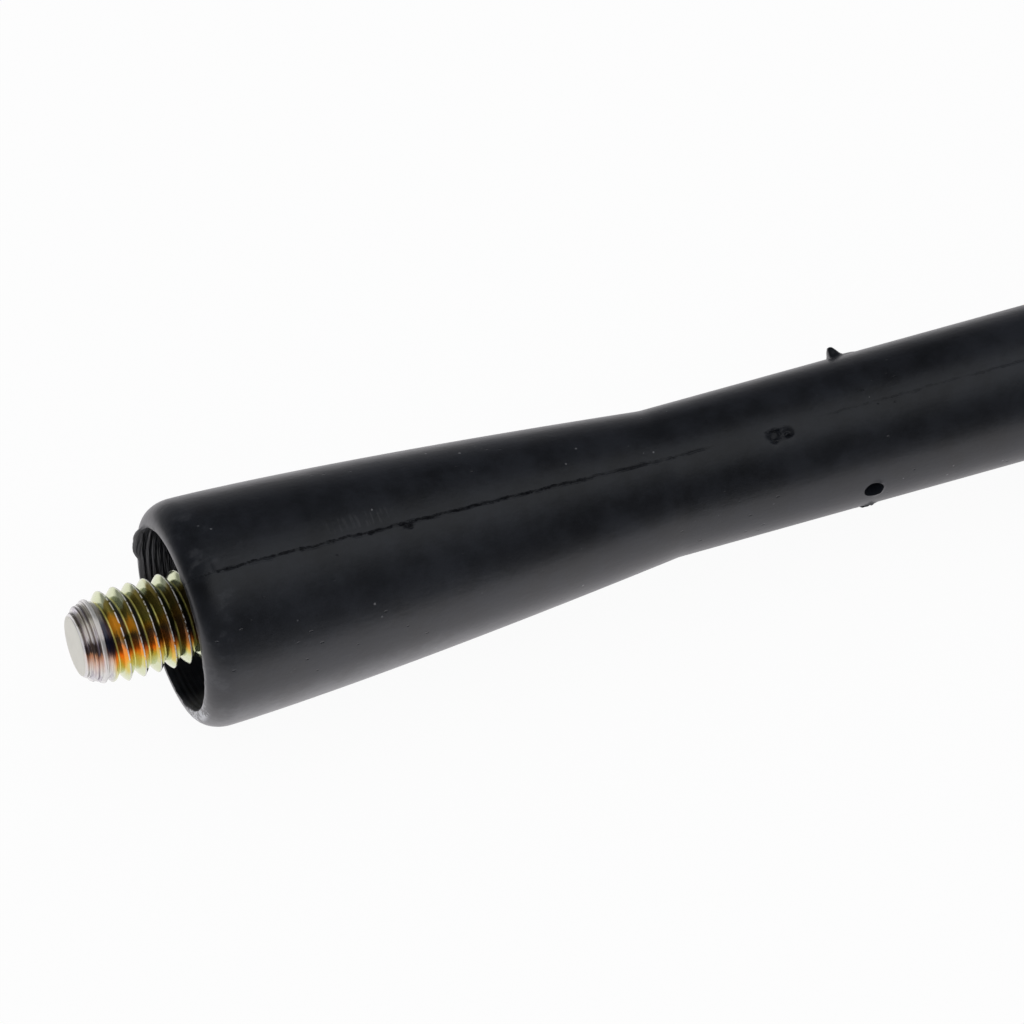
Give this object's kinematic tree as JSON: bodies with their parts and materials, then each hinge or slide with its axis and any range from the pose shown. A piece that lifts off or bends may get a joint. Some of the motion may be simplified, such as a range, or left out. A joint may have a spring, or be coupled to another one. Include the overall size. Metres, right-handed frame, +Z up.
{
  "type": "car mast aerial",
  "caption": "Car mast aerial: black rubber mast with a flared hollow boot and a short screw stud in its mouth, over a wound glass-fibre rod.",
  "frame": {"origin": "centre of the boot's mouth, on the stud's axis", "axes": "+X along the mast from the stud to the tip, +Z up as the mast lies"},
  "size_m": [0.2364, 0.0146, 0.0146],
  "materials": {
    "rubber": "satin moulded black rubber with parting flash",
    "zinc_steel": "turned steel with yellow iridescent zinc plating",
    "glass_fibre": "glass fibre in resin",
    "enamelled_copper": "enamelled copper wire",
    "solder": "bright solder",
    "shrink_tube": "black shrink tube"
  },
  "bodies": {
    "root": {"rubber_sheath": "rubber", "threaded_stud": "zinc_steel", "core_rod": "glass_fibre", "antenna_winding": "enamelled_copper", "solder_joint": "solder", "shrink_sleeve": "shrink_tube"}
  },
  "joints": []
}
